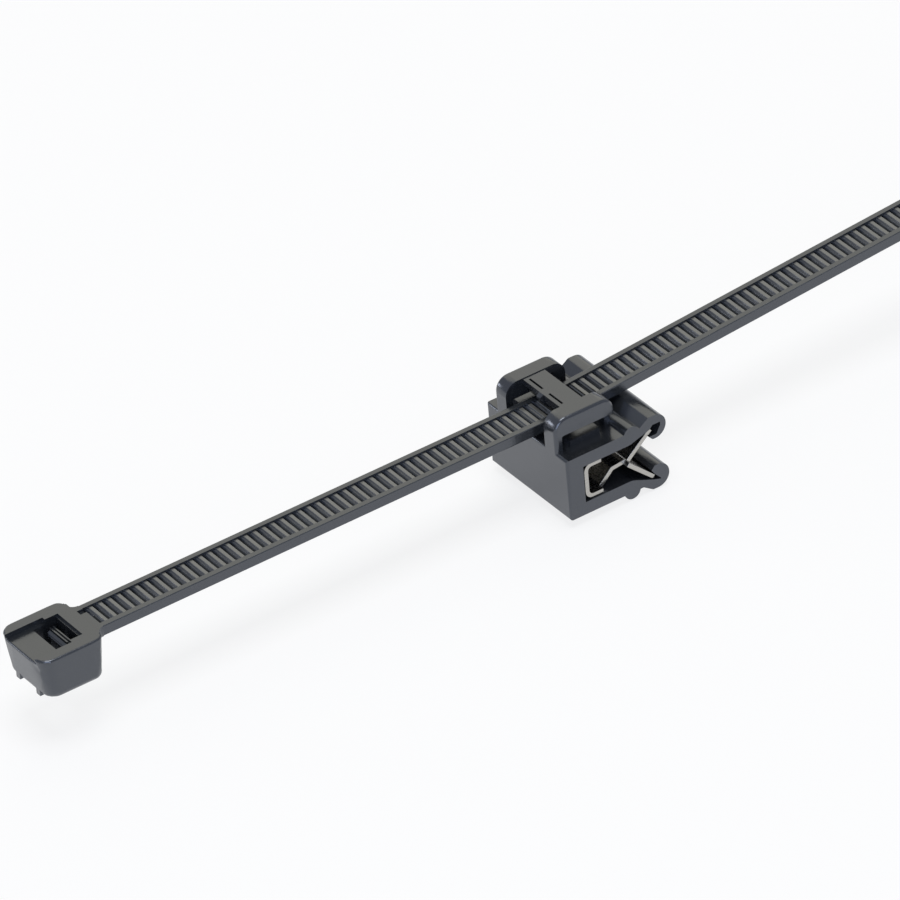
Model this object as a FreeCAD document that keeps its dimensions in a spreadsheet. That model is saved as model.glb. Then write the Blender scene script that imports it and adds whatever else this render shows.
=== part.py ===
"""Edge clip with a strap saddle, a folded steel spring and a serrated cable tie.

Three pieces: a moulded housing that pushes over a sheet edge, the folded spring that grips
the edge inside it, and a one-piece cable tie that runs through the saddle on top.
All lengths are millimetres and all angles are degrees. X runs along the tie towards its tail
and out of the mouth, Y across the clip, Z up. The origin is where the sheet's edge stops.
"""

import FreeCAD, Part
import math
import os
from types import SimpleNamespace

import Sketcher

# Housing body: a block whose two arms end in round lobes either side of the mouth.
HOUSING = {
    "body_width": 14.6,
    "body_half_height": 3.8,
    "back_wall": 2.05,
    "cavity_half_height": 2.27,
    "ramp_start": 8.1,
    "valley_setback": 1.9,
    "foot_reach": 8.05,
    "hump_shift": 0.35,
    "hump_drop": 0.14,
    "foot_height": 3.58,
    "foot_radius": 1.02,
    "lobe_reach": 11.35,
    "lobe_height": 3.15,
    "lobe_radius": 1.47,
    "flank_run": 0.7,
    "slot_mouth_setback": 0.65,
    "slot_mouth_drop": 0.08,
    "slot_lead": 0.4,
    "slot_depth": 1.4,
    "slot_rise": 0.42,
    "slot_end_width": 0.4,
    "slot_heel": 0.85,
    "lip_setback": 0.12,
    "lip_clear": 0.4,
    "lip_run": 0.6,
    "lip_fall": 0.66,
    "lower_sag": 0.3,
    "wedge_run": 1.0,
    "wedge_fall": 0.32,
    "wedge_end": 0.14,
    "wedge_heel_run": 0.42,
    "wedge_heel_fall": 0.62,
    "body_edge_radius": 0.3,
    "flank_radius": 0.5,
    "ramp_radius": 2.0,
}

# Saddle: two upright walls along the strap, a cross bar, a bed and a hanging flap.
SADDLE = {
    "saddle_length": 7.7,
    "saddle_top": 7.85,
    "saddle_corner_radius": 1.6,
    "saddle_edge_radius": 0.4,
    "ledge": 1.8,
    "wall_thickness": 2.05,
    "left_post": 0.85,
    "right_post": 0.7,
    "right_post_depth": 1.0,
    "beam_height": 2.1,
    "window_radius": 0.25,
    "bar_left": 2.3,
    "bar_right": 5.1,
    "bar_height": 0.75,
    "bar_drop": 0.1,
    "lip_width": 0.45,
    "slit_width": 0.25,
    "slit_length": 2.4,
    "web_width": 1.2,
    "bed_left": 1.95,
    "bed_right": 5.75,
    "bed_inset": 0.2,
    "bed_height": 0.8,
    "flap_thickness": 0.4,
    "flap_reach": 0.9,
    "rib_width": 0.7,
    "rib_depth": 0.45,
    "rib_drop": 1.2,
}

# Spring: one folded sheet with a C-shaped back, two tongues and two jaws.
SPRING = {
    "sheet": 0.5,
    "spring_gap": 0.06,
    "back_gap": 0.2,
    "spring_inset": 0.2,
    "tongue_inset": 1.0,
    "tongue_gap": 0.5,
    "arm_reach": 4.5,
    "arm_corner_radius": 1.0,
    "knee_reach": 6.3,
    "knee_height": 0.45,
    "pinch_reach": 7.85,
    "pinch_gap": 0.04,
    "jaw_gap": 0.05,
    "jaw_tuck": 0.05,
}

# Cable tie: strap, serrated track, tail, head, entry recess, window and pawl.
TIE = {
    "tie_length": 200.0,
    "strap_width": 4.7,
    "strap_thickness": 1.25,
    "strap_gap": 0.1,
    "bend_reach": 5.0,
    "bend_angle": 4.36,
    "bend_radius": 40.0,
    "head_to_bend": 68.6,
    "rail_width": 0.68,
    "crest_drop": 0.18,
    "tooth_pitch": 1.134,
    "crest_width": 0.37,
    "crest_phase": 0.14,
    "tooth_depth": 0.5,
    "tooth_face": 0.08,
    "tooth_floor": 0.12,
    "tooth_shelf": 0.16,
    "tooth_shelf_drop": 0.17,
    "tooth_shelf_rise": 0.05,
    "tooth_lip": 0.1,
    "smooth_neck": 0.9,
    "smooth_tail": 22.0,
    "tail_taper": 16.0,
    "tail_tip_width": 2.4,
    "strap_edge_radius": 0.12,
    "head_length": 7.85,
    "head_width": 8.5,
    "head_height": 5.15,
    "head_rise": 0.2,
    "head_left_taper": 0.65,
    "head_right_taper": 0.4,
    "head_side_taper": 0.15,
    "head_corner_radius": 1.1,
    "head_left_corner_radius": 1.6,
    "head_bottom_radius": 0.8,
    "neck_radius": 0.9,
    "mark_start": 0.25,
    "mark_length": 1.0,
    "mark_offset": 0.85,
    "mark_width": 0.75,
    "mark_depth": 0.3,
    "nub_offset": 1.9,
    "nub_width": 0.7,
    "nub_depth": 0.1,
    "nub_reach": 0.1,
    "nub_height": 0.9,
    "nub_length": 1.5,
    "recess_width": 5.6,
    "recess_depth": 0.65,
    "recess_lap": 1.5,
    "window_start": 3.15,
    "window_length": 2.85,
    "window_width": 4.7,
    "window_step": 0.25,
    "window_step_depth": 0.35,
    "pawl_gap": 0.7,
    "pawl_root_height": 0.9,
    "pawl_lift": 0.5,
    "pawl_stand": 1.3,
    "pawl_top_drop": 0.7,
    "pawl_thickness": 0.55,
    "pawl_edge": 0.16,
    "pawl_groove": 0.25,
    "pawl_web": 1.45,
    "pawl_tooth": 0.3,
    "pawl_tooth_step": 0.12,
}

# How far a cut runs past the face it breaks, and how far one form reaches into the next.
OVERRUN = 1.0
LAP = 0.3

# An edge that rises by more than this angle counts as upright.
UPRIGHT_ANGLE = 65

doc = FreeCAD.newDocument("cable_tie_mount")


class Size:
    """A driving dimension, or a sum or product of some, as a number and as the sheet's text."""

    def __init__(self, value, text):
        self.value = value
        self.text = text

    def __add__(self, other):
        other = as_size(other)
        return Size(self.value + other.value, f"({self.text} + {other.text})")

    def __sub__(self, other):
        other = as_size(other)
        return Size(self.value - other.value, f"({self.text} - {other.text})")

    def __mul__(self, other):
        other = as_size(other)
        return Size(self.value * other.value, f"({self.text} * {other.text})")

    def __truediv__(self, other):
        other = as_size(other)
        return Size(self.value / other.value, f"({self.text} / {other.text})")

    def __neg__(self):
        return Size(-self.value, f"(-1 * {self.text})")

    def __rsub__(self, other):
        return as_size(other) - self

    __radd__ = __add__
    __rmul__ = __mul__


def as_size(value):
    """A Size stays one, and a plain number becomes one."""
    return value if isinstance(value, Size) else Size(float(value), str(float(value)))


def sine(angle):
    return Size(math.sin(math.radians(angle.value)), f"sin({angle.text} * 1 deg)")


def cosine(angle):
    return Size(math.cos(math.radians(angle.value)), f"cos({angle.text} * 1 deg)")


def square_root(size):
    return Size(math.sqrt(size.value), f"sqrt({size.text})")


def whole(size):
    return Size(math.floor(size.value), f"floor({size.text})")


def fill_sheet():
    """Write every driving dimension in the sheet and return them all as Sizes."""
    sheet = doc.addObject("Spreadsheet::Sheet", "Sizes")
    found = {}
    row = 0
    for group in (HOUSING, SADDLE, SPRING, TIE):
        for alias, value in group.items():
            row += 1
            sheet.set(f"A{row}", alias.replace("_", " "))
            sheet.set(f"B{row}", str(value))
            sheet.setAlias(f"B{row}", alias)
            found[alias] = Size(value, f"Sizes.{alias}")
    doc.recompute()
    return SimpleNamespace(**found)


d = fill_sheet()


def new_body(name):
    body = doc.addObject("PartDesign::Body", name)
    body.Label = name
    return body


def add_sketch(body, name, plane, lift=None):
    """An empty sketch on one of the body's origin planes, lifted along the plane's normal."""
    sketch = body.newObject("Sketcher::SketchObject", name)
    support = [item for item in body.Origin.OriginFeatures if item.Role == plane][0]
    sketch.AttachmentSupport = (support, [""])
    sketch.MapMode = "FlatFace"
    if lift is not None:
        sketch.setExpression("AttachmentOffset.Base.z", lift.text)
    return sketch


def pin_point(sketch, edge, end, point):
    """Hold one end of a sketch edge at a point given by two Sizes."""
    for kind, size in zip(("DistanceX", "DistanceY"), point):
        size = as_size(size)
        index = sketch.addConstraint(Sketcher.Constraint(kind, -1, 1, edge, end, size.value))
        sketch.setExpression(f"Constraints[{index}]", size.text)


def vector(point):
    return FreeCAD.Vector(as_size(point[0]).value, as_size(point[1]).value, 0)


def loop_ends(arcs, index):
    """Which ends of a sketch edge begin and finish its run round the loop."""
    return (2, 1) if index in arcs and arcs[index][2] < 0 else (1, 2)


def draw_outline(sketch, points, arcs=None):
    """Close a loop through the points, with arcs {start index: (centre, radius, turn)}."""
    arcs = arcs or {}
    count = len(points)
    first = sketch.GeometryCount
    for index, start in enumerate(points):
        end = points[(index + 1) % count]
        if index in arcs:
            centre, radius, turn = arcs[index]
            middle = vector(centre)
            angles = [math.atan2(*reversed((vector(p) - middle)[:2])) for p in (start, end)]
            if turn < 0:
                angles.reverse()
            circle = Part.Circle(middle, FreeCAD.Vector(0, 0, 1), radius.value)
            sketch.addGeometry(Part.ArcOfCircle(circle, *angles), False)
        else:
            sketch.addGeometry(Part.LineSegment(vector(start), vector(end)), False)
    for index, start in enumerate(points):
        edge = first + index
        following = first + (index + 1) % count
        start_end, finish_end = loop_ends(arcs, index)
        next_start_end, _ = loop_ends(arcs, (index + 1) % count)
        sketch.addConstraint(
            Sketcher.Constraint("Coincident", edge, finish_end, following, next_start_end)
        )
        pin_point(sketch, edge, start_end, start)
        if index in arcs:
            radius = arcs[index][1]
            made = sketch.addConstraint(Sketcher.Constraint("Radius", edge, radius.value))
            sketch.setExpression(f"Constraints[{made}]", radius.text)


def draw_box(sketch, low, high):
    draw_outline(sketch, [low, (high[0], low[1]), high, (low[0], high[1])])


def draw_circle(sketch, centre, radius):
    circle = Part.Circle(vector(centre), FreeCAD.Vector(0, 0, 1), radius.value)
    edge = sketch.addGeometry(circle, False)
    pin_point(sketch, edge, 3, centre)
    made = sketch.addConstraint(Sketcher.Constraint("Radius", edge, radius.value))
    sketch.setExpression(f"Constraints[{made}]", radius.text)


def add_pad(body, sketch, length, both_ways=True, kind="PartDesign::Pad"):
    """Pad a sketch, half to each side of its plane unless both_ways is off."""
    pad = body.newObject(kind, f"{sketch.Label}_pad")
    pad.Profile = sketch
    pad.SideType = "Symmetric" if both_ways else "One side"
    pad.setExpression("Length", as_size(length).text)
    doc.recompute()
    return pad


def add_pocket(body, sketch, length, both_ways=True, upwards=False):
    """Cut a sketch out of the body and make sure that something was removed."""
    before = body.Shape.Volume
    pocket = add_pad(body, sketch, length, both_ways, "PartDesign::Pocket")
    if upwards:
        pocket.Reversed = True
        doc.recompute()
    if body.Shape.Volume >= before - 1e-6:
        raise ValueError(f"{pocket.Label} removes nothing")
    return pocket


def edge_names(shape, test):
    """Names of the edges whose two ends and middle pass a test on a point."""
    names = []
    for number, edge in enumerate(shape.Edges, 1):
        middle = edge.valueAt((edge.FirstParameter + edge.LastParameter) / 2)
        if all(test(point) for point in [vertex.Point for vertex in edge.Vertexes] + [middle]):
            names.append(f"Edge{number}")
    return names


def near(value, size, slack=0.002):
    return abs(value - as_size(size).value) < slack


def add_fillet(body, name, radius, test):
    """Round every edge of the body that passes the test."""
    base = body.Tip
    names = edge_names(base.Shape, test)
    if not names:
        raise ValueError(f"{name} finds no edge")
    fillet = body.newObject("PartDesign::Fillet", name)
    fillet.Base = (base, names)
    fillet.setExpression("Radius", radius.text)
    doc.recompute()
    return fillet


def mirrored(points):
    """A loop of the given upper points and their mirror image below the middle plane."""
    return list(points) + [(reach, -as_size(height)) for reach, height in reversed(points)]


panel_stop = d.back_wall + d.back_gap + d.sheet
slot_mouth = (d.lobe_reach - d.slot_mouth_setback, d.lobe_height - d.slot_mouth_drop)
slot_lip = (slot_mouth[0] - d.lip_setback, slot_mouth[1] - d.sheet - d.lip_clear)
lower_mouth = (slot_mouth[0], -slot_mouth[1] - d.lower_sag)
strap_bottom = d.body_half_height + d.bed_height + d.strap_gap
strap_top = strap_bottom + d.strap_thickness


def place(body, reach, height=None):
    """Put a body's own origin at a reach from the back of the housing."""
    body.setExpression("Placement.Base.x", (as_size(reach) - panel_stop).text)
    if height is not None:
        body.setExpression("Placement.Base.z", height.text)


def build_housing():
    """The moulded body with its arms and lobes, and the saddle on top of it."""
    body = new_body("clip_housing")
    width = d.body_width
    half = d.body_half_height
    lobe_top = d.lobe_height + d.lobe_radius

    block = add_sketch(body, "block", "XZ_Plane")
    draw_outline(
        block,
        mirrored(
            [
                (0, half),
                (d.lobe_reach - d.valley_setback, half),
                (d.lobe_reach - d.flank_run, lobe_top),
                (d.lobe_reach, lobe_top),
                (slot_mouth[0], d.lobe_height),
            ]
        ),
    )
    add_pad(body, block, width)
    flank = d.lobe_reach - d.flank_run
    add_fillet(
        body,
        "flank_rounding",
        d.flank_radius,
        lambda p: near(p.x, flank) and (near(p.z, lobe_top) or near(p.z, -lobe_top)),
    )

    build_saddle(body)

    rounds = add_sketch(body, "feet_and_lobes", "XZ_Plane")
    hump = (d.foot_reach + d.hump_shift, d.foot_height - d.hump_drop)
    draw_circle(rounds, hump, d.foot_radius)
    draw_circle(rounds, (d.foot_reach, -d.foot_height), d.foot_radius)
    for side in (1, -1):
        draw_circle(rounds, (d.lobe_reach, side * d.lobe_height), d.lobe_radius)
    add_pad(body, rounds, width)

    slot_end = slot_mouth[0] + d.slot_depth
    slot_top = slot_mouth[1] + d.slot_rise
    wedge_end = lower_mouth[0] + d.wedge_run
    wedge_floor = lower_mouth[1] - d.wedge_fall
    cavity = add_sketch(body, "cavity", "XZ_Plane")
    upper_slot = [
        slot_mouth,
        (slot_mouth[0] + d.slot_lead, slot_top),
        (slot_end, slot_top),
        (slot_end, slot_top - d.slot_end_width),
        (slot_mouth[0] + d.slot_heel, slot_lip[1]),
        slot_lip,
    ]
    lower_slot = [
        (slot_lip[0], -slot_lip[1]),
        (slot_lip[0] + d.wedge_heel_run, -slot_lip[1] - d.wedge_heel_fall),
        (wedge_end, wedge_floor + d.wedge_end),
        (wedge_end, wedge_floor),
        lower_mouth,
    ]
    lip_end = (slot_lip[0] + d.lip_run, slot_lip[1] - d.lip_fall)
    draw_outline(
        cavity,
        [(d.back_wall, d.cavity_half_height), (d.ramp_start, d.cavity_half_height)]
        + upper_slot
        + [lip_end, (lip_end[0], -lip_end[1])]
        + lower_slot
        + [(d.ramp_start, -d.cavity_half_height), (d.back_wall, -d.cavity_half_height)],
    )
    add_pocket(body, cavity, width + 2 * OVERRUN)
    add_fillet(
        body,
        "ramp_rounding",
        d.ramp_radius,
        lambda p: near(p.x, d.ramp_start) and near(abs(p.z), d.cavity_half_height),
    )
    add_fillet(
        body,
        "back_rounding",
        d.body_edge_radius,
        lambda p: near(p.x, 0) and (near(abs(p.z), half) or near(abs(p.y), width / 2)),
    )
    place(body, 0)
    return body


def build_saddle(body):
    """Two walls with low windows, the cross bar with its flap, and the bed for the strap."""
    half = d.body_half_height
    outer = d.body_width / 2 - d.ledge
    inner = outer - d.wall_thickness
    bar_bottom = d.saddle_top - d.bar_height
    beam_bottom = d.saddle_top - d.beam_height

    block = add_sketch(body, "saddle_block", "XZ_Plane")
    draw_box(block, (0, half - LAP), (d.saddle_length, d.saddle_top))
    add_pad(body, block, outer * 2)
    add_fillet(
        body,
        "saddle_corner_rounding",
        d.saddle_corner_radius,
        lambda p: near(p.z, d.saddle_top) and (near(p.x, 0) or near(p.x, d.saddle_length)),
    )

    add_fillet(
        body,
        "saddle_edge_rounding",
        d.saddle_edge_radius,
        lambda p: near(abs(p.y), outer)
        and (p.z > half.value + LAP or near(p.x, 0) or near(p.x, d.saddle_length)),
    )

    tunnel = add_sketch(body, "strap_tunnel", "YZ_Plane", as_size(-LAP))
    draw_box(tunnel, (-inner, half), (inner, bar_bottom))
    add_pocket(body, tunnel, d.saddle_length + 2 * LAP, both_ways=False, upwards=True)

    opening = add_sketch(body, "open_top", "XY_Plane", d.saddle_top + LAP)
    draw_box(opening, (as_size(-LAP), -inner), (d.bar_left, inner))
    draw_box(opening, (d.bar_right, -inner), (d.saddle_length + LAP, inner))
    add_pocket(body, opening, d.bar_height + 2 * LAP, both_ways=False)

    step = add_sketch(body, "bar_top", "XY_Plane", d.saddle_top + LAP)
    draw_box(step, (d.bar_left - LAP, -inner), (d.bar_right + LAP, inner))
    add_pocket(body, step, d.bar_drop + LAP, both_ways=False)

    slits = add_sketch(body, "bar_slits", "XY_Plane", d.saddle_top + LAP)
    slit_left = d.bar_left + d.lip_width
    for side in (1, -1):
        near_end = side * (d.web_width / 2)
        far_end = side * (d.web_width / 2 + d.slit_length)
        draw_box(slits, (slit_left, near_end), (slit_left + d.slit_width, far_end))
    add_pocket(body, slits, d.bar_height + 2 * LAP, both_ways=False)

    windows = add_sketch(body, "wall_windows", "XZ_Plane")
    window_right = d.saddle_length - d.right_post
    draw_box(windows, (d.left_post, half), (window_right, beam_bottom))
    add_pocket(body, windows, 2 * (outer + OVERRUN))
    add_fillet(
        body,
        "window_rounding",
        d.window_radius,
        lambda p: near(p.z, beam_bottom) and (near(p.x, d.left_post) or near(p.x, window_right)),
    )

    posts = add_sketch(body, "post_relief", "XY_Plane", half)
    for side in (1, -1):
        draw_box(
            posts,
            (window_right - LAP, side * (inner + d.right_post_depth)),
            (d.saddle_length + LAP, side * (outer + LAP)),
        )
    add_pocket(body, posts, beam_bottom - half, both_ways=False, upwards=True)

    bed = add_sketch(body, "strap_bed", "XZ_Plane")
    draw_box(bed, (d.bed_left, half - LAP), (d.bed_right, half + d.bed_height))
    add_pad(body, bed, (outer - d.bed_inset) * 2)

    build_flap(body, bar_bottom)


def build_flap(body, bar_bottom):
    """The curved flap that hangs from the bar's lip, and the rib down its middle."""
    drop = bar_bottom - (strap_top + d.strap_gap)
    sweep = d.flap_reach
    hinge = d.bar_left + d.lip_width - d.flap_thickness
    radius = (sweep * sweep + drop * drop) / (2 * sweep)
    centre_reach = hinge + radius
    lower = (hinge + sweep, bar_bottom - drop)
    flap = add_sketch(body, "flap", "XZ_Plane")
    inner_radius = radius - d.flap_thickness
    lower_inner = (
        centre_reach - (radius - sweep) * inner_radius / radius,
        bar_bottom - drop * inner_radius / radius,
    )
    draw_outline(
        flap,
        [
            (hinge, bar_bottom),
            lower,
            lower_inner,
            (hinge + d.flap_thickness, bar_bottom),
            (hinge + d.flap_thickness, bar_bottom + d.bar_height / 2),
            (hinge, bar_bottom + d.bar_height / 2),
        ],
        arcs={
            0: ((centre_reach, bar_bottom), radius, 1),
            2: ((centre_reach, bar_bottom), inner_radius, -1),
        },
    )
    add_pad(body, flap, d.web_width + 2 * d.slit_length)

    rib = add_sketch(body, "flap_rib", "XZ_Plane")
    draw_outline(
        rib,
        [
            (d.bar_left - d.rib_depth, bar_bottom + d.bar_height / 2),
            (d.bar_left - d.rib_depth, bar_bottom),
            (hinge + sweep / 2, bar_bottom - d.rib_drop),
            (d.bar_left + d.lip_width, d.saddle_top - d.bar_drop),
            (d.bar_left, d.saddle_top - d.bar_drop),
        ],
    )
    add_pad(body, rib, d.rib_width)


def strip_outline(path, thickness):
    """The two offset sides of a bent strip that follows a path of straight runs."""
    values = [vector(point) for point in path]
    left, right = [], []
    for index, point in enumerate(path):
        runs = [
            (path[i], path[i + 1])
            for i in (index - 1, index)
            if 0 <= i and i + 1 < len(values)
        ]
        normals = [unit_normal(start, end) for start, end in runs]
        if len(normals) == 1:
            shift_x, shift_y = normals[0]
        else:
            (first_x, first_y), (second_x, second_y) = normals
            scale = 1 + first_x * second_x + first_y * second_y
            shift_x = (first_x + second_x) / scale
            shift_y = (first_y + second_y) / scale
        half = thickness / 2
        left.append((point[0] + shift_x * half, point[1] + shift_y * half))
        right.append((point[0] - shift_x * half, point[1] - shift_y * half))
    return left + list(reversed(right))


def unit_normal(start, end):
    """The unit vector that points to the left of a run."""
    run_x = as_size(end[0]) - start[0]
    run_y = as_size(end[1]) - start[1]
    length = square_root(run_x * run_x + run_y * run_y)
    return -run_y / length, run_x / length


def further(start, end, distance):
    """The point that lies a distance past the end of a run, in the run's own direction."""
    normal_x, normal_y = unit_normal(start, end)
    return end[0] + normal_y * distance, end[1] - normal_x * distance


def build_spring():
    """One folded sheet: C-shaped back, a tongue from each arm and a jaw from each tongue."""
    body = new_body("spring_clip")
    outer = d.cavity_half_height - d.spring_gap
    arm = outer - d.sheet / 2
    spine = d.back_wall + d.back_gap + d.sheet / 2
    width = d.body_width - 2 * d.spring_inset
    pinch = (d.pinch_reach, (d.sheet + d.pinch_gap) / 2)
    stand = d.sheet / 2 + d.jaw_gap

    back = add_sketch(body, "c_back", "XZ_Plane")
    path = [(d.arm_reach, arm), (spine, arm), (spine, -arm), (d.arm_reach, -arm)]
    draw_outline(back, strip_outline(path, d.sheet))
    add_pad(body, back, width)
    outside = d.back_wall + d.back_gap
    add_fillet(
        body,
        "outer_bends",
        d.arm_corner_radius,
        lambda p: near(p.x, outside) and near(abs(p.z), outer),
    )
    add_fillet(
        body,
        "inner_bends",
        d.arm_corner_radius - d.sheet,
        lambda p: near(p.x, outside + d.sheet) and near(abs(p.z), outer - d.sheet),
    )

    tongue_width = d.body_width / 2 - d.tongue_inset - d.tongue_gap / 2
    for side, name in ((-1, "lower"), (1, "upper")):
        mouth = slot_mouth[1] if side > 0 else -lower_mouth[1]
        normal = unit_normal(pinch, (slot_mouth[0], mouth))
        seat = (slot_mouth[0] - normal[0] * stand, mouth - normal[1] * stand)
        tip = further(pinch, seat, d.jaw_tuck)
        jaw_root = further(tip, pinch, -d.sheet)

        tongue = add_sketch(body, f"{name}_tongue", "XZ_Plane", -side * (d.tongue_gap / 2))
        path = [
            (d.arm_reach - d.sheet, side * arm),
            (d.arm_reach + d.sheet / 2, side * arm),
            (d.knee_reach, side * d.knee_height),
            (pinch[0], side * pinch[1]),
            (jaw_root[0], side * jaw_root[1]),
        ]
        draw_outline(tongue, strip_outline(path, d.sheet))
        pad = add_pad(body, tongue, tongue_width, both_ways=False)
        if side > 0:
            pad.Reversed = True
            doc.recompute()

        jaw = add_sketch(body, f"{name}_jaw", "XZ_Plane")
        path = [(pinch[0], side * pinch[1]), (tip[0], side * tip[1])]
        draw_outline(jaw, strip_outline(path, d.sheet))
        add_pad(body, jaw, width)
    place(body, 0)
    return body


def along(distance, lift):
    """A point on the rising part of the strap, measured from the bend and from its underside."""
    return (
        distance * cosine(d.bend_angle) - lift * sine(d.bend_angle),
        distance * sine(d.bend_angle) + lift * cosine(d.bend_angle),
    )


def build_tie():
    """The one-piece cable tie. Its own origin is under the bend, on the strap's underside."""
    body = new_body("cable_tie")
    thick = d.strap_thickness
    head_left = -d.head_to_bend
    head_right = head_left + d.head_length
    tail_run = d.tie_length - d.head_to_bend
    tangent = d.bend_radius * sine(d.bend_angle / 2) / cosine(d.bend_angle / 2)

    strap = add_sketch(body, "strap_side", "XZ_Plane")
    centre = (-tangent, d.bend_radius)
    zero = as_size(0)
    draw_outline(
        strap,
        [
            (head_right - OVERRUN, zero),
            (-tangent, zero),
            along(tangent, zero),
            along(tail_run, zero),
            along(tail_run, thick),
            along(tangent, thick),
            (-tangent, thick),
            (head_right - OVERRUN, thick),
        ],
        arcs={
            1: (centre, d.bend_radius, 1),
            5: (centre, d.bend_radius - thick, -1),
        },
    )
    add_pad(body, strap, d.strap_width)

    side = d.strap_width / 2
    add_fillet(
        body,
        "strap_edge_rounding",
        d.strap_edge_radius,
        lambda p: near(abs(p.y), side),
    )

    tail = add_sketch(body, "tail_taper", "XY_Plane", -thick)
    nose = d.tail_tip_width / 2
    tip = along(tail_run, zero)[0]
    taper_start = tip - d.tail_taper
    draw_outline(
        tail,
        [
            (taper_start, side),
            (tip - nose, nose),
            (tip, zero),
            (tip - nose, -nose),
            (taper_start, -side),
            (taper_start, -side - OVERRUN),
            (tip + OVERRUN, -side - OVERRUN),
            (tip + OVERRUN, side + OVERRUN),
            (taper_start, side + OVERRUN),
        ],
        arcs={index: ((tip - nose, zero), nose, -1) for index in (1, 2)},
    )
    add_pocket(body, tail, tail_run, both_ways=False, upwards=True)

    build_head(body, head_left, head_right)
    build_track(body, head_right, tail_run)
    place(body, d.bend_reach, strap_bottom)
    return body


def build_track(body, head_right, tail_run):
    """The sunk track between the rails, and the teeth across it, before and after the bend."""
    crest = d.strap_thickness - d.crest_drop
    above = d.strap_thickness + OVERRUN
    track_width = d.strap_width - 2 * d.rail_width
    span = d.tooth_pitch - d.crest_width
    shelf = span - d.tooth_lip - d.tooth_shelf
    near_room = -head_right - d.smooth_neck
    far_room = tail_run - d.smooth_tail
    near_first = d.crest_width / 2 - d.crest_phase
    far_first = d.crest_width / 2 + d.crest_phase
    near_copies = whole((near_room - near_first - span) / d.tooth_pitch)
    far_copies = whole((far_room - far_first - span) / d.tooth_pitch)
    start = -near_first - near_copies * d.tooth_pitch - span
    end = far_first + far_copies * d.tooth_pitch + span

    track = add_sketch(body, "track_sunk", "XZ_Plane")
    draw_outline(
        track,
        [
            (start, crest),
            (as_size(0), crest),
            along(end, crest),
            along(end, above),
            (as_size(0), above),
            (start, above),
        ],
    )
    add_pocket(body, track, track_width)

    runs = (
        ("near", near_first, near_copies, lambda reach, lift: (-reach, lift)),
        ("far", far_first, far_copies, along),
    )
    for name, first, copies, at in runs:
        groove = add_sketch(body, f"{name}_tooth_gap", "XZ_Plane")
        profile = [
            (as_size(0), crest),
            (d.tooth_face, crest - d.tooth_depth),
            (d.tooth_face + d.tooth_floor, crest - d.tooth_depth),
            (shelf, crest - d.tooth_shelf_drop),
            (span - d.tooth_lip, crest - d.tooth_shelf_drop + d.tooth_shelf_rise),
            (span, crest),
            (span, above),
            (as_size(0), above),
        ]
        if name == "near":
            profile = [(span - reach, lift) for reach, lift in profile]
        draw_outline(groove, [at(first + reach, lift) for reach, lift in profile])
        add_guide_line(groove, at(first, as_size(0)), at(first + d.tooth_pitch, as_size(0)))
        cut = add_pocket(body, groove, track_width)
        pattern = body.newObject("PartDesign::LinearPattern", f"{name}_teeth")
        pattern.Originals = [cut]
        pattern.Direction = (groove, ["Axis0"])
        pattern.Mode = "Spacing"
        pattern.Refine = False
        pattern.setExpression("Offset", d.tooth_pitch.text)
        pattern.setExpression("Occurrences", f"{copies.text} + 1")
        body.Tip = pattern
        doc.recompute()


def add_guide_line(sketch, start, end):
    """A construction line that gives a pattern its direction."""
    line = sketch.addGeometry(Part.LineSegment(vector(start), vector(end)), True)
    pin_point(sketch, line, 1, start)
    pin_point(sketch, line, 2, end)


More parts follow.
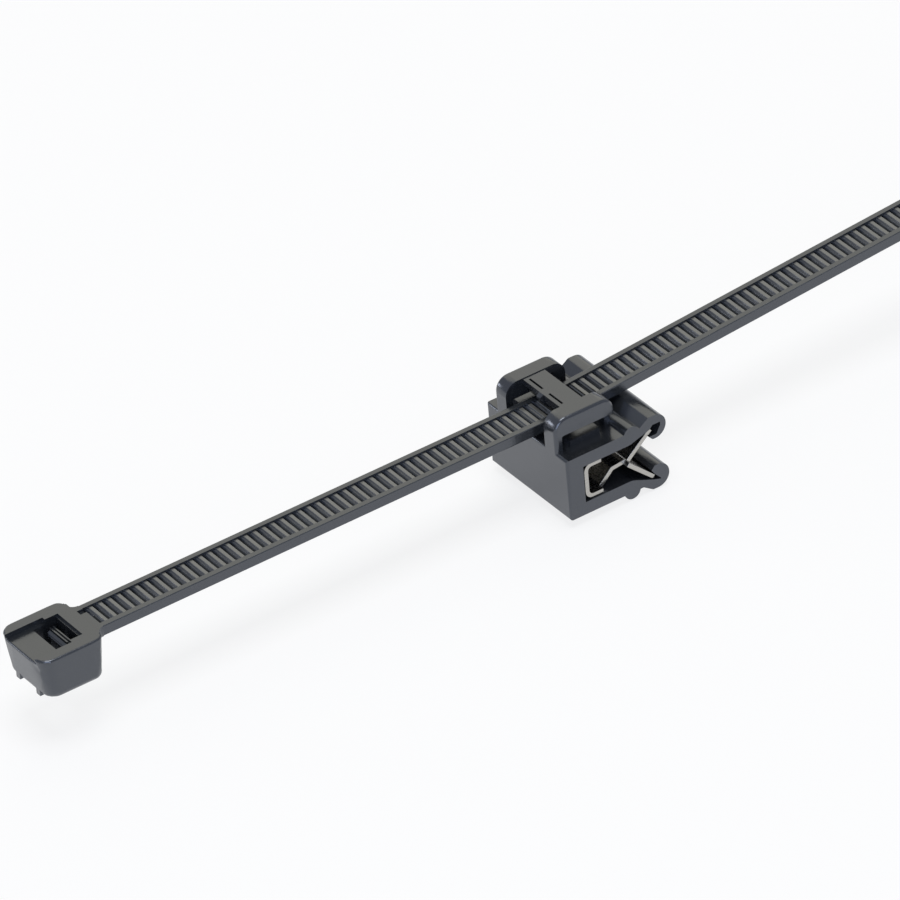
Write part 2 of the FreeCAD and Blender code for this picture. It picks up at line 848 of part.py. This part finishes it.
def build_head(body, left, right):
    """The tapered head with its neck, entry recess, strap window and pawl."""
    thick = d.strap_thickness
    top = thick + d.head_rise
    bottom = top - d.head_height
    half = d.head_width / 2

    upper = add_sketch(body, "head_top", "XY_Plane", top)
    draw_box(upper, (left, -half), (right, half))
    lower = add_sketch(body, "head_bottom", "XY_Plane", bottom)
    low_half = half - d.head_side_taper
    draw_box(lower, (left + d.head_left_taper, -low_half), (right - d.head_right_taper, low_half))
    head = body.newObject("PartDesign::AdditiveLoft", "head_form")
    head.Profile = upper
    head.Sections = [lower]
    head.Ruled = True
    doc.recompute()

    def is_head_side(p):
        return p.x < right.value + LAP and abs(p.y) > low_half.value - LAP

    middle = (left + right) / 2
    ends = (("left", d.head_left_corner_radius, -1), ("right", d.head_corner_radius, 1))
    for side_name, radius, side in ends:
        base = body.Tip
        shape = base.Shape
        corners = []
        for name in edge_names(shape, is_head_side):
            edge = shape.getElement(name)
            upright = abs(edge.tangentAt(edge.FirstParameter).z)
            here = (edge.BoundBox.Center.x - middle.value) * side > 0
            if here and upright > math.sin(math.radians(UPRIGHT_ANGLE)):
                corners.append(name)
        rounding = body.newObject("PartDesign::Fillet", f"head_{side_name}_rounding")
        rounding.Base = (base, corners)
        rounding.setExpression("Radius", radius.text)
        doc.recompute()
    add_fillet(body, "head_bottom_rounding", d.head_bottom_radius, lambda p: near(p.z, bottom))

    nubs = add_sketch(body, "head_nubs", "XY_Plane", bottom - d.nub_depth)
    nub_left = left + d.head_left_taper - d.nub_reach
    for middle in (-d.nub_offset, d.nub_offset):
        low = (nub_left, middle - d.nub_width / 2)
        draw_box(nubs, low, (nub_left + d.nub_length, middle + d.nub_width / 2))
    add_pad(body, nubs, d.nub_depth + d.nub_height, both_ways=False)

    neck = add_sketch(body, "neck", "XY_Plane")
    strap_side = d.strap_width / 2
    root_side = strap_side + d.neck_radius
    neck_end = right + d.neck_radius
    draw_outline(
        neck,
        [
            (right - OVERRUN, -root_side),
            (right, -root_side),
            (neck_end, -strap_side),
            (neck_end, strap_side),
            (right, root_side),
            (right - OVERRUN, root_side),
        ],
        arcs={
            1: ((neck_end, -root_side), d.neck_radius, -1),
            3: ((neck_end, root_side), d.neck_radius, -1),
        },
    )
    add_pad(body, neck, thick, both_ways=False)

    mark = add_sketch(body, "neck_mark", "XY_Plane", thick + OVERRUN)
    low = (right + d.mark_start, d.mark_offset)
    draw_box(mark, low, (low[0] + d.mark_length, d.mark_offset + d.mark_width))
    add_pocket(body, mark, d.mark_depth + OVERRUN, both_ways=False)

    window_left = left + d.window_start
    window_right = window_left + d.window_length
    recess = add_sketch(body, "entry_recess", "XY_Plane", top + OVERRUN)
    recess_side = d.recess_width / 2
    draw_box(recess, (left - OVERRUN, -recess_side), (window_left + d.recess_lap, recess_side))
    add_pocket(body, recess, d.recess_depth + OVERRUN, both_ways=False)
    step = add_sketch(body, "window_step", "XY_Plane", top + OVERRUN)
    step_low = (window_right - LAP, -d.window_width / 2)
    draw_box(step, step_low, (window_right + d.window_step, d.window_width / 2))
    add_pocket(body, step, d.window_step_depth + OVERRUN, both_ways=False)
    window = add_sketch(body, "strap_window", "XY_Plane", top + OVERRUN)
    draw_box(window, (window_left, -d.window_width / 2), (window_right, d.window_width / 2))
    add_pocket(body, window, d.head_height + 2 * OVERRUN, both_ways=False)
    build_pawl(body, window_right, bottom, top)


def build_pawl(body, window_right, bottom, top):
    """The pawl that stands in the window, with its teeth towards the strap's way through."""
    root = bottom + d.pawl_lift
    face = window_right - d.pawl_stand
    crown = top - d.pawl_top_drop
    outline = [
        (window_right + LAP, root),
        (face + d.pawl_thickness / 2, root),
        (face, root + d.pawl_root_height),
    ]
    for step in (3, 2):
        outline.append((face, crown - step * d.pawl_tooth))
        outline.append((face - d.pawl_tooth, crown - step * d.pawl_tooth + d.pawl_tooth_step))
    outline += [
        (face, crown - d.pawl_tooth),
        (face, crown),
        (face + d.pawl_edge, crown),
        (face + d.pawl_edge, crown - d.pawl_groove),
        (face + d.pawl_thickness - d.pawl_edge, crown - d.pawl_groove),
        (face + d.pawl_thickness - d.pawl_edge, crown),
        (face + d.pawl_thickness, crown),
        (face + d.pawl_thickness, root + d.pawl_web),
        (window_right + LAP, root + d.pawl_root_height),
    ]
    pawl = add_sketch(body, "pawl", "XZ_Plane")
    draw_outline(pawl, outline)
    add_pad(body, pawl, d.window_width - 2 * d.pawl_gap)


def check_document():
    """Stop at any failed object or bad shape before anything is written."""
    doc.recompute()
    for item in doc.Objects:
        if "Invalid" in item.State or "Error" in item.State:
            raise ValueError(f"{item.Label} failed: {item.State}")


def write_nodes(bodies):
    os.makedirs("parts", exist_ok=True)
    for body in bodies:
        shape = body.Shape
        if shape.isNull() or not shape.isValid() or len(shape.Solids) != 1:
            raise ValueError(f"{body.Label} is not one valid solid")
        shape.exportStep(f"parts/{body.Label}.step")
        box = shape.BoundBox
        print(
            f"{body.Label}: {shape.Volume:.1f} mm3, "
            f"X {box.XMin:.2f} to {box.XMax:.2f}, Y {box.YMin:.2f} to {box.YMax:.2f}, "
            f"Z {box.ZMin:.2f} to {box.ZMax:.2f}"
        )


pieces = [build_housing(), build_spring(), build_tie()]
check_document()
write_nodes(pieces)
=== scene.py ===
"""Looks of an edge clip with a serrated cable tie: moulded black nylon and folded spring steel.

Everything is in metres, in the frame's own axes. Real sizes are written in millimetres and
turned to metres by MM. The shapes are the frame's own solids, merged and with rounded edges.
"""

import logging
import math
from collections import defaultdict
from collections.abc import Callable
from dataclasses import dataclass
from enum import Enum

import bpy
from mathutils import Matrix, Vector


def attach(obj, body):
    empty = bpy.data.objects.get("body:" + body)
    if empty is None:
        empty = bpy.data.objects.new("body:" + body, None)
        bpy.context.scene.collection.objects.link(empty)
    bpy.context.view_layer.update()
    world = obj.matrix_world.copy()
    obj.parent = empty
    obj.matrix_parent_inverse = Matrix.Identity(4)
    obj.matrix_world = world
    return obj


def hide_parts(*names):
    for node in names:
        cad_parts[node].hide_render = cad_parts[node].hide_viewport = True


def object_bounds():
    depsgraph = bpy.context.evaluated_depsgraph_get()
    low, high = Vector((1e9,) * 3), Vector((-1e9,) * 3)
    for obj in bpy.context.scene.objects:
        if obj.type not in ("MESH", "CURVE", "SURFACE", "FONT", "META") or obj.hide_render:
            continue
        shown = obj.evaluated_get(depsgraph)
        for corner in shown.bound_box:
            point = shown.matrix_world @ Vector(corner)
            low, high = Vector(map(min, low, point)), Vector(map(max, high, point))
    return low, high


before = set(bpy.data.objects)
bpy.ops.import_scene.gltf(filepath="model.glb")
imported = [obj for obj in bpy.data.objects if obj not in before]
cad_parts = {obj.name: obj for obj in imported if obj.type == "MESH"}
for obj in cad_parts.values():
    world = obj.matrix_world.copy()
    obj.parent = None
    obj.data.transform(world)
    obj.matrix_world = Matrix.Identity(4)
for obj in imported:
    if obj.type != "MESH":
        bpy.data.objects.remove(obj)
cad_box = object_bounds()

log = logging.getLogger("dressing")

MM = 0.001
MERGE_MM = 0.0005
SAME_PLACE_MM = 0.01
FLAT_DEGREES = 0.5
SMOOTH_DEGREES = 30
BROAD_SEGMENTS = 5
FLATS_WEIGHT = 100
NOISE_LOW, NOISE_HIGH = 0.3, 0.7
WHITE = "#ffffff"


class Node(Enum):
    """The frame's solids that are dressed here."""

    HOUSING = "clip_housing"
    SPRING = "spring_clip"
    TIE = "cable_tie"


class Body(Enum):
    """The frame's rigid bodies."""

    CLIP = "clip"
    TIE = "tie"


def linear(hex_colour: str) -> tuple[float, float, float, float]:
    """Turn an sRGB hex colour to linear light.

    Args:
        hex_colour: six hex digits after a hash sign.

    Returns:
        Red, green and blue in linear light, and an alpha of one.
    """
    shares = [int(hex_colour[place:place + 2], 16) / 255 for place in (1, 3, 5)]
    red, green, blue = [
        share / 12.92 if share <= 0.04045 else ((share + 0.055) / 1.055) ** 2.4 for share in shares
    ]
    return red, green, blue, 1.0


def add_node(tree: bpy.types.NodeTree, kind: str, settings: dict | None = None,
             inputs: dict | None = None, links: dict | None = None) -> bpy.types.Node:
    """Add one node to a tree, set it up and link it.

    Args:
        tree: the node tree.
        kind: the node's type name.
        settings: attributes to set on the node.
        inputs: socket names or places, with the values to give them.
        links: socket names or places, with the output sockets to link to them.

    Returns:
        The new node.
    """
    node = tree.nodes.new(kind)
    for name, value in (settings or {}).items():
        setattr(node, name, value)
    for socket, value in (inputs or {}).items():
        node.inputs[socket].default_value = value
    for socket, source in (links or {}).items():
        tree.links.new(source, node.inputs[socket])
    return node


def white_to_the_eye(tree: bpy.types.NodeTree, mirrored: float) -> bpy.types.NodeSocket:
    """Say which rays see the plain white of the background.

    Args:
        tree: the node tree of the floor or the world.
        mirrored: how much of the white a reflection shows.

    Returns:
        A socket that is one for the camera's rays and for what glass passes, and the given share
        in reflections.
    """
    path = add_node(tree, "ShaderNodeLightPath").outputs
    gloss = add_node(tree, "ShaderNodeMath", {"operation": "MULTIPLY"}, {1: mirrored},
                     {0: path["Is Glossy Ray"]})
    direct = add_node(tree, "ShaderNodeMath", {"operation": "MAXIMUM"}, {},
                      {0: path["Is Camera Ray"], 1: gloss.outputs["Value"]})
    every = add_node(tree, "ShaderNodeMath", {"operation": "MAXIMUM"}, {},
                     {0: direct.outputs["Value"], 1: path["Is Transmission Ray"]})
    return every.outputs["Value"]


def new_material(name: str) -> tuple[bpy.types.Material, bpy.types.NodeTree]:
    """Make an empty node material.

    Args:
        name: the material's name.

    Returns:
        The material and its node tree.
    """
    material = bpy.data.materials.new(name)
    material.use_nodes = True
    material.node_tree.nodes.clear()
    return material, material.node_tree


@dataclass(frozen=True)
class MouldedNylon:
    """Black polyamide 6.6, injection moulded in a spark-eroded tool.

    To the eye that is a soft cool sheen over a fine, slightly uneven skin.
    """

    name: str
    shade: str = "#1e2024"
    light_shade: str = "#26282a"
    roughness: float = 0.2
    smoother: float = 0.05
    rougher: float = 0.07
    refraction: float = 1.54
    # Twice the default, fitted to the photograph and not typical of nylon.
    gloss_level: float = 1.0
    gloss_tint: str = "#edf3ff"
    cloud_mm: float = 2.2
    cloud_detail: float = 3.0
    cloud_breakup: float = 0.6
    # The real grain is a few hundredths of a millimetre, and is drawn coarser, so that it shows.
    grain_mm: float = 0.2
    grain_detail: float = 2.0
    grain_breakup: float = 0.5
    grain_height_mm: float = 0.009
    grain_strength: float = 0.5

    def material(self) -> bpy.types.Material:
        """Build the nylon's node material.

        Returns:
            The material, patterned on Object coordinates.
        """
        material, tree = new_material(self.name)
        place = add_node(tree, "ShaderNodeTexCoord").outputs["Object"]
        clouds = add_node(tree, "ShaderNodeTexNoise", {"noise_dimensions": "3D"},
                          {"Scale": 1 / (self.cloud_mm * MM), "Detail": self.cloud_detail,
                           "Roughness": self.cloud_breakup},
                          {"Vector": place})
        grain = add_node(tree, "ShaderNodeTexNoise", {"noise_dimensions": "3D"},
                         {"Scale": 1 / (self.grain_mm * MM), "Detail": self.grain_detail,
                          "Roughness": self.grain_breakup},
                         {"Vector": place})
        colour = add_node(tree, "ShaderNodeMix", {"data_type": "RGBA"},
                          {"A": linear(self.shade), "B": linear(self.light_shade)},
                          {"Factor": clouds.outputs["Fac"]}).outputs["Result"]
        colour = self.with_painted_crest_highlight(tree, place, colour)
        gloss = add_node(tree, "ShaderNodeMapRange", {},
                         {"From Min": NOISE_LOW, "From Max": NOISE_HIGH,
                          "To Min": self.roughness - self.smoother,
                          "To Max": self.roughness + self.rougher},
                         {"Value": clouds.outputs["Fac"]})
        bump = add_node(tree, "ShaderNodeBump", {},
                        {"Strength": self.grain_strength, "Distance": self.grain_height_mm * MM},
                        {"Height": grain.outputs["Fac"]})
        shader = add_node(tree, "ShaderNodeBsdfPrincipled", {},
                          {"IOR": self.refraction, "Specular IOR Level": self.gloss_level,
                           "Specular Tint": linear(self.gloss_tint)},
                          {"Base Color": colour,
                           "Roughness": gloss.outputs["Result"],
                           "Normal": bump.outputs["Normal"]})
        add_node(tree, "ShaderNodeOutputMaterial", {}, {}, {"Surface": shader.outputs["BSDF"]})
        return material

    def with_painted_crest_highlight(self, tree: bpy.types.NodeTree, place: bpy.types.NodeSocket,
                    colour: bpy.types.NodeSocket) -> bpy.types.NodeSocket:
        """Leave the colour as it is: this moulding has no teeth, so no crest highlight is painted.

        Args:
            tree: the material's node tree.
            place: the Object coordinates.
            colour: the nylon's own colour.

        Returns:
            The same colour.
        """
        return colour


@dataclass(frozen=True)
class ToothedNylon(MouldedNylon):
    """The tie's nylon, with a painted highlight on the crests of its teeth, as a paler colour.

    The photograph shows the crests brighter than the light here makes them, so this shade is
    matched to that and is not a known finish. The crests are found by their height over the
    strap's underside, which climbs past the strap's bend.
    """

    # Painted highlight: a paler colour on the teeth's crests that stands in for light on them.
    crest_painted_highlight: str = "#5c5b56"
    crest_height_mm: float = 1.07
    crest_depth_mm: float = 0.05
    track_half_mm: float = 1.6
    track_start_mm: float = -57.0
    strap_bottom_mm: float = 4.7
    bend_mm: float = 2.25
    bend_degrees: float = 4.36

    def with_painted_crest_highlight(self, tree: bpy.types.NodeTree, place: bpy.types.NodeSocket,
                    colour: bpy.types.NodeSocket) -> bpy.types.NodeSocket:
        """Paint a highlight on the crests of the teeth, as a paler colour.

        Args:
            tree: the material's node tree.
            place: the Object coordinates.
            colour: the nylon's own colour.

        Returns:
            The colour with the painted crest highlight in it.
        """
        def step(operation: str, first: bpy.types.NodeSocket,
                 second: float | bpy.types.NodeSocket, within: float = 0.0) -> bpy.types.NodeSocket:
            """Add one step of arithmetic and give its result.

            Args:
                operation: the step's name.
                first: the socket that it starts from.
                second: a number or a socket.
                within: how near the two have to be, where they are compared.

            Returns:
                The step's output.
            """
            fixed, linked = {2: within}, {0: first}
            (fixed if isinstance(second, float) else linked)[1] = second
            return add_node(tree, "ShaderNodeMath", {"operation": operation},
                            fixed, linked).outputs["Value"]

        split = add_node(tree, "ShaderNodeSeparateXYZ", {}, {}, {"Vector": place})
        along, across, up = split.outputs
        past_bend = step("MAXIMUM", step("SUBTRACT", along, self.bend_mm * MM), 0.0)
        rise = step("MULTIPLY", past_bend, math.tan(math.radians(self.bend_degrees)))
        height = step("SUBTRACT", step("SUBTRACT", up, rise), self.strap_bottom_mm * MM)
        level = step("COMPARE", height, self.crest_height_mm * MM, self.crest_depth_mm * MM)
        inside = step("COMPARE", across, 0.0, self.track_half_mm * MM)
        started = step("GREATER_THAN", along, self.track_start_mm * MM)
        painted_crest_mask = step("MULTIPLY", step("MULTIPLY", level, inside), started)
        # Mix in the painted crest highlight.
        return add_node(tree, "ShaderNodeMix", {"data_type": "RGBA"},
                        {"B": linear(self.crest_painted_highlight)},
                        {"A": colour, "Factor": painted_crest_mask}).outputs["Result"]


@dataclass(frozen=True)
class SpringSteel:
    """Carbon spring steel, cold rolled, tempered and folded.

    To the eye that is a bright strip with fine rolling lines along it and a soft reflection.
    """

    name: str = "rolled_spring_steel"
    shade: str = "#bfbdb9"
    dark_shade: str = "#9f9d98"
    roughness: float = 0.24
    # Real rolling lines are finer than this, and wouldn't show at the photograph's scale.
    line_mm: float = 0.09
    line_length_mm: float = 6.0
    line_detail: float = 2.0
    line_breakup: float = 0.5
    line_height_mm: float = 0.003
    line_strength: float = 0.35
    smoother: float = 0.06
    rougher: float = 0.08

    def material(self) -> bpy.types.Material:
        """Build the steel's node material.

        Returns:
            The material, with rolling lines along X on Object coordinates.
        """
        material, tree = new_material(self.name)
        place = add_node(tree, "ShaderNodeTexCoord").outputs["Object"]
        stretch = add_node(tree, "ShaderNodeMapping", {},
                           {"Scale": (self.line_mm / self.line_length_mm, 1.0, 1.0)},
                           {"Vector": place})
        lines = add_node(tree, "ShaderNodeTexNoise", {"noise_dimensions": "3D"},
                         {"Scale": 1 / (self.line_mm * MM), "Detail": self.line_detail,
                          "Roughness": self.line_breakup},
                         {"Vector": stretch.outputs["Vector"]})
        colour = add_node(tree, "ShaderNodeMix", {"data_type": "RGBA"},
                          {"A": linear(self.dark_shade), "B": linear(self.shade)},
                          {"Factor": lines.outputs["Fac"]})
        gloss = add_node(tree, "ShaderNodeMapRange", {},
                         {"From Min": NOISE_LOW, "From Max": NOISE_HIGH,
                          "To Min": self.roughness - self.smoother,
                          "To Max": self.roughness + self.rougher},
                         {"Value": lines.outputs["Fac"]})
        bump = add_node(tree, "ShaderNodeBump", {},
                        {"Strength": self.line_strength, "Distance": self.line_height_mm * MM},
                        {"Height": lines.outputs["Fac"]})
        shader = add_node(tree, "ShaderNodeBsdfPrincipled", {}, {"Metallic": 1.0},
                          {"Base Color": colour.outputs["Result"],
                           "Roughness": gloss.outputs["Result"],
                           "Normal": bump.outputs["Normal"]})
        add_node(tree, "ShaderNodeOutputMaterial", {}, {}, {"Surface": shader.outputs["BSDF"]})
        return material


def deselect_all() -> None:
    """Leave nothing selected, so that an operator acts on the new piece alone."""
    for item in bpy.context.selected_objects:
        item.select_set(False)


def make_active(item: bpy.types.Object) -> None:
    """Select one object alone and make it the active one.

    Args:
        item: the object that the next operators act on.
    """
    deselect_all()
    item.select_set(True)
    bpy.context.view_layer.objects.active = item


def apply_modifiers(item: bpy.types.Object) -> None:
    """Apply every modifier of a piece in order.

    Args:
        item: the piece, which is left as the active object.
    """
    make_active(item)
    for name in [modifier.name for modifier in item.modifiers]:
        bpy.ops.object.modifier_apply(modifier=name)


def round_chosen_edges(piece: bpy.types.Object, width_mm: float,
                       chosen: Callable[[Vector, Vector], bool],
                       sharp_degrees: float = 40.0) -> None:
    """Round the sharp edges of a piece that lie where a test says.

    Args:
        piece: the piece, with its doubles merged.
        width_mm: the width of the rounding in millimetres.
        chosen: a test on an edge's two ends, in millimetres.
        sharp_degrees: edges that turn less than this are left.
    """
    make_active(piece)
    mesh = piece.data
    corners = [vertex.co / MM for vertex in mesh.vertices]
    faces_of = defaultdict(list)
    for polygon in mesh.polygons:
        for key in polygon.edge_keys:
            faces_of[key].append(polygon.normal)
    for item in (*mesh.vertices, *mesh.polygons):
        item.select = False
    limit = math.radians(sharp_degrees)
    for edge in mesh.edges:
        sides = faces_of[edge.key]
        sharp = len(sides) == 2 and sides[0].angle(sides[1], 0.0) > limit
        edge.select = sharp and chosen(*[corners[place] for place in edge.vertices])
    count = sum(edge.select for edge in mesh.edges)
    log.info("%s: %d edges rounded by %.2f mm", piece.name, count, width_mm)
    bpy.context.tool_settings.mesh_select_mode = (False, True, False)
    bpy.ops.object.mode_set(mode="EDIT")
    bpy.ops.mesh.bevel(offset=width_mm * MM, offset_type="OFFSET", segments=BROAD_SEGMENTS,
                       affect="EDGES", clamp_overlap=False)
    bpy.ops.object.mode_set(mode="OBJECT")


def softened_copy(node: Node, name: str, edge_mm: float, sharp_degrees: float = 28.0,
                  segments: int = 2, broad: list[tuple] | None = None) -> bpy.types.Object:
    """Copy a solid's mesh, join its loose triangles and round its moulded edges.

    Args:
        node: the solid to copy.
        name: the new piece's name.
        edge_mm: the width of the rounding in millimetres.
        sharp_degrees: edges that turn more than this are rounded.
        segments: faces across each rounding.
        broad: widths in millimetres, each with a test that says which edges are rounded by it.

    Returns:
        The new piece, with its modifiers applied.
    """
    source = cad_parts[node.value]
    piece = bpy.data.objects.new(name, source.data.copy())
    bpy.context.scene.collection.objects.link(piece)
    piece.data.name = name
    make_active(piece)
    bpy.ops.object.mode_set(mode="EDIT")
    bpy.ops.mesh.select_all(action="SELECT")
    bpy.ops.mesh.remove_doubles(threshold=MERGE_MM * MM)
    bpy.ops.mesh.dissolve_limited(angle_limit=math.radians(FLAT_DEGREES))
    bpy.ops.object.mode_set(mode="OBJECT")
    for width_mm, chosen in broad or []:
        round_chosen_edges(piece, width_mm, chosen)
    bevel = piece.modifiers.new("moulded_edges", "BEVEL")
    bevel.width = edge_mm * MM
    bevel.segments = segments
    bevel.limit_method = "ANGLE"
    bevel.angle_limit = math.radians(sharp_degrees)
    bevel.use_clamp_overlap = True
    apply_modifiers(piece)
    bpy.ops.object.shade_smooth_by_angle(angle=math.radians(SMOOTH_DEGREES))
    flats = piece.modifiers.new("flats_stay_flat", "WEIGHTED_NORMAL")
    flats.mode = "FACE_AREA"
    flats.weight = FLATS_WEIGHT
    flats.keep_sharp = True
    apply_modifiers(piece)
    return piece


def dress(piece: bpy.types.Object, material: bpy.types.Material) -> None:
    """Give a piece one material all over.

    Args:
        piece: the piece, or the floor.
        material: what it is made of.
    """
    piece.data.materials.clear()
    piece.data.materials.append(material)
    for polygon in piece.data.polygons:
        polygon.material_index = 0


@dataclass
class Housing:
    """The moulded clip body with its saddle."""

    edge_mm: float = 0.12
    finish: MouldedNylon = MouldedNylon("moulded_nylon_of_the_clip")

    def build(self) -> bpy.types.Object:
        """Make the housing's piece and set it on its body.

        Returns:
            The finished piece.
        """
        piece = softened_copy(Node.HOUSING, "housing_moulding", self.edge_mm)
        dress(piece, self.finish.material())
        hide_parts(Node.HOUSING.value)
        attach(piece, Body.CLIP.value)
        return piece


@dataclass
class Spring:
    """The folded steel sheet in the housing's mouth."""

    edge_mm: float = 0.05
    finish: SpringSteel = SpringSteel()

    def build(self) -> bpy.types.Object:
        """Make the spring's piece and set it on its body.

        Returns:
            The finished piece.
        """
        piece = softened_copy(Node.SPRING, "spring_strip", self.edge_mm)
        dress(piece, self.finish.material())
        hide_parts(Node.SPRING.value)
        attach(piece, Body.CLIP.value)
        return piece


@dataclass
class Tie:
    """The one-piece cable tie. The places are those of its head in the frame, at rest."""

    edge_mm: float = 0.06
    head_edge_mm: float = 0.32
    head_top_mm: float = 6.15
    head_right_mm: float = -58.5
    head_left_mm: float = -66.2
    recess_floor_mm: float = 5.5
    recess_half_mm: float = 2.85
    finish: MouldedNylon = ToothedNylon("moulded_nylon_of_the_tie", shade="#202224")

    def build(self) -> bpy.types.Object:
        """Make the tie's piece and set it on its body.

        Returns:
            The finished piece.
        """
        piece = softened_copy(Node.TIE, "tie_moulding", self.edge_mm,
                              broad=[(self.head_edge_mm, self.is_head_rim)])
        dress(piece, self.finish.material())
        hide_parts(Node.TIE.value)
        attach(piece, Body.TIE.value)
        return piece

    def is_head_rim(self, start: Vector, end: Vector) -> bool:
        """Say whether an edge runs round the outside of the head's top or of its recess's mouth.

        Args:
            start: one end of the edge, in millimetres.
            end: its other end.

        Returns:
            True where the head is broadly rounded.
        """
        return self.is_top_rim(start, end) or all(
            abs(corner.z - self.recess_floor_mm) < SAME_PLACE_MM and corner.x < self.head_left_mm
            for corner in (start, end)
        )

    def is_top_rim(self, start: Vector, end: Vector) -> bool:
        """Say whether an edge runs round the outside of the head's top.

        Args:
            start: one end of the edge, in millimetres.
            end: its other end.

        Returns:
            True where both ends lie on that rim.
        """
        return all(
            abs(corner.z - self.head_top_mm) < SAME_PLACE_MM
            and corner.x < self.head_right_mm
            and abs(corner.y) > self.recess_half_mm
            for corner in (start, end)
        )


@dataclass(frozen=True)
class Softbox:
    """One square lamp that is turned to the object: its place and side in metres, its watts."""

    name: str
    place: tuple[float, float, float]
    side: float
    power: float
    tint: str

    def build(self) -> None:
        """Hang the lamp, out of the camera's sight."""
        lamp = bpy.data.lights.new(self.name, "AREA")
        lamp.shape = "SQUARE"
        lamp.size = self.side
        lamp.energy = self.power
        lamp.color = linear(self.tint)[:3]
        holder = bpy.data.objects.new(self.name, lamp)
        bpy.context.scene.collection.objects.link(holder)
        holder.location = self.place
        holder.rotation_mode = "QUATERNION"
        holder.rotation_quaternion = (-Vector(self.place)).to_track_quat("-Z", "Y")
        holder.visible_camera = False


@dataclass
class Studio:
    """The pale floor, the white surroundings and the soft lamps."""

    floor_drop_mm: float = 0.2
    floor_size_mm: float = 12000.0
    ambient: float = 0.3
    mirrored: float = 0.3
    air_tint: str = "#e6eeff"
    floor_glow: float = 0.8
    lamps: tuple[Softbox, ...] = (
        Softbox("back_softbox", (0.6, 0.96, 0.95), 1.5, 5.2, "#fff5d2"),
        Softbox("overhead_softbox", (0.0, -0.1, 1.35), 0.7, 8.5, WHITE),
        Softbox("left_softbox", (-0.85, 1.05, 0.22), 0.32, 1.5, "#f4f7ff"),
        Softbox("front_softbox", (-0.8, -1.1, 0.5), 1.0, 8.5, "#d6e3ff"),
    )

    def build(self) -> None:
        """Make the floor, the surroundings and the lamps."""
        self.make_floor()
        self.make_world()
        for lamp in self.lamps:
            lamp.build()

    def make_floor(self) -> None:
        """Lay a wide pale floor just under the object."""
        lowest = cad_box[0].z - self.floor_drop_mm * MM
        deselect_all()
        bpy.ops.mesh.primitive_plane_add(size=self.floor_size_mm * MM, location=(0, 0, lowest))
        floor = bpy.context.active_object
        floor.name = "studio_floor"
        material, tree = new_material("pale_floor")
        matt = add_node(tree, "ShaderNodeBsdfDiffuse", {}, {"Color": linear(WHITE)})
        plain = add_node(tree, "ShaderNodeEmission", {}, {"Color": linear(WHITE), "Strength": 1.0})
        share = add_node(tree, "ShaderNodeMath", {"operation": "MULTIPLY"}, {1: self.floor_glow},
                         {0: white_to_the_eye(tree, 1.0)})
        surface = add_node(tree, "ShaderNodeMixShader", {}, {},
                           {0: share.outputs["Value"], 1: matt.outputs["BSDF"],
                            2: plain.outputs["Emission"]})
        add_node(tree, "ShaderNodeOutputMaterial", {}, {}, {"Surface": surface.outputs["Shader"]})
        dress(floor, material)

    def make_world(self) -> None:
        """White to the camera, part of the way to white in reflections, softer on the object."""
        world = bpy.data.worlds.new("white_surroundings")
        world.use_nodes = True
        bpy.context.scene.world = world
        tree = world.node_tree
        tree.nodes.clear()
        white = white_to_the_eye(tree, self.mirrored)
        strength = add_node(tree, "ShaderNodeMapRange", {}, {"To Min": self.ambient, "To Max": 1.0},
                            {"Value": white})
        tint = add_node(tree, "ShaderNodeMix", {"data_type": "RGBA"},
                        {"A": linear(self.air_tint), "B": linear(WHITE)}, {"Factor": white})
        light = add_node(tree, "ShaderNodeBackground", {}, {},
                         {"Color": tint.outputs["Result"], "Strength": strength.outputs["Result"]})
        add_node(tree, "ShaderNodeOutputWorld", {}, {}, {"Surface": light.outputs["Background"]})


@dataclass
class Viewpoint:
    """The photograph's view: long lens, above and to the left, slightly rolled."""

    azimuth: float = -32.0
    elevation: float = 34.9
    roll: float = 5.1
    lens_mm: float = 407.88
    sensor_mm: float = 36.0
    nearest: float = 0.01
    farthest: float = 100.0
    distance_mm: float = 1073.0
    aim_mm: tuple[float, float, float] = (-10.34, 3.26, 3.27)

    def build(self) -> None:
        """Make the camera and set it as the scene's."""
        turn, rise, roll = [math.radians(a) for a in (self.azimuth, self.elevation, self.roll)]
        ahead = Vector((-math.sin(turn) * math.cos(rise),
                        math.cos(turn) * math.cos(rise),
                        -math.sin(rise)))
        level = ahead.cross(Vector((0, 0, 1))).normalized()
        upright = level.cross(ahead)
        right = level * math.cos(roll) - upright * math.sin(roll)
        above = level * math.sin(roll) + upright * math.cos(roll)
        lens = bpy.data.cameras.new("photo_view")
        lens.lens = self.lens_mm
        lens.sensor_width = self.sensor_mm
        lens.clip_start = self.nearest
        lens.clip_end = self.farthest
        camera = bpy.data.objects.new("photo_view", lens)
        bpy.context.scene.collection.objects.link(camera)
        camera.rotation_mode = "QUATERNION"
        camera.rotation_quaternion = Matrix((right, above, -ahead)).transposed().to_quaternion()
        camera.location = Vector(self.aim_mm) * MM - ahead * self.distance_mm * MM
        bpy.context.scene.camera = camera


def main() -> None:
    """Build the view, the studio and every piece."""
    logging.basicConfig(level=logging.INFO, format="%(name)s: %(message)s")
    Viewpoint().build()
    Studio().build()
    for maker in (Housing(), Spring(), Tie()):
        piece = maker.build()
        log.info("%s: %d faces", piece.name, len(piece.data.polygons))
    bpy.context.scene.view_settings.view_transform = "Standard"


if __name__ == "__main__":
    main()
